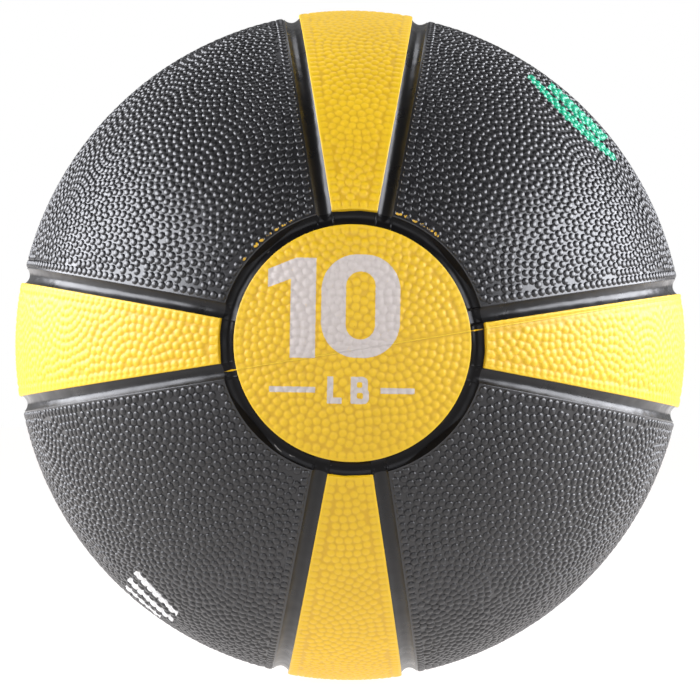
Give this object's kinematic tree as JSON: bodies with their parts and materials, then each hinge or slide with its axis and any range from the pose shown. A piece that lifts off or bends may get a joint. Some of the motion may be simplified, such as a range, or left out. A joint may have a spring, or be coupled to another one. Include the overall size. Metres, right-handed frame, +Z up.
{
  "type": "medicine ball",
  "caption": "Inflatable rubber medicine ball with a pebbled cover of wide dark panels, narrow bright strips, round end panels, sunken grooves and a needle valve.",
  "frame": {"origin": "middle of the ball", "axes": "+Y runs through both round end panels, from the printed one at -Y to the one with the valve at +Y; +Z is up through the top strip, and +X is to the right of someone who faces the printed end"},
  "size_m": [0.2286, 0.2286, 0.2286],
  "materials": {
    "yellow_rubber": "satin",
    "black_rubber": "satin",
    "channel_rubber": "satin",
    "body_rubber": "matte",
    "bladder_rubber": "satin",
    "nylon_thread": "satin",
    "valve_rubber": "satin",
    "plug_rubber": "matte"
  },
  "bodies": {
    "root": {"bladder": "bladder_rubber", "nylon_winding": "nylon_thread", "body_upper_half": "body_rubber", "body_lower_half": "body_rubber", "valve_housing": "valve_rubber", "valve_plug": "plug_rubber", "front_disc": "yellow_rubber", "rear_disc": "yellow_rubber", "right_strip": "yellow_rubber", "top_strip": "yellow_rubber", "left_strip": "yellow_rubber", "bottom_strip": "yellow_rubber", "upper_right_panel": "black_rubber", "upper_left_panel": "black_rubber", "lower_left_panel": "black_rubber", "lower_right_panel": "black_rubber", "front_ring_channel": "channel_rubber", "rear_ring_channel": "channel_rubber", "right_strip_lower_channel": "channel_rubber", "right_strip_upper_channel": "channel_rubber", "top_strip_right_channel": "channel_rubber", "top_strip_left_channel": "channel_rubber", "left_strip_upper_channel": "channel_rubber", "left_strip_lower_channel": "channel_rubber", "bottom_strip_left_channel": "channel_rubber", "bottom_strip_right_channel": "channel_rubber"}
  },
  "joints": []
}
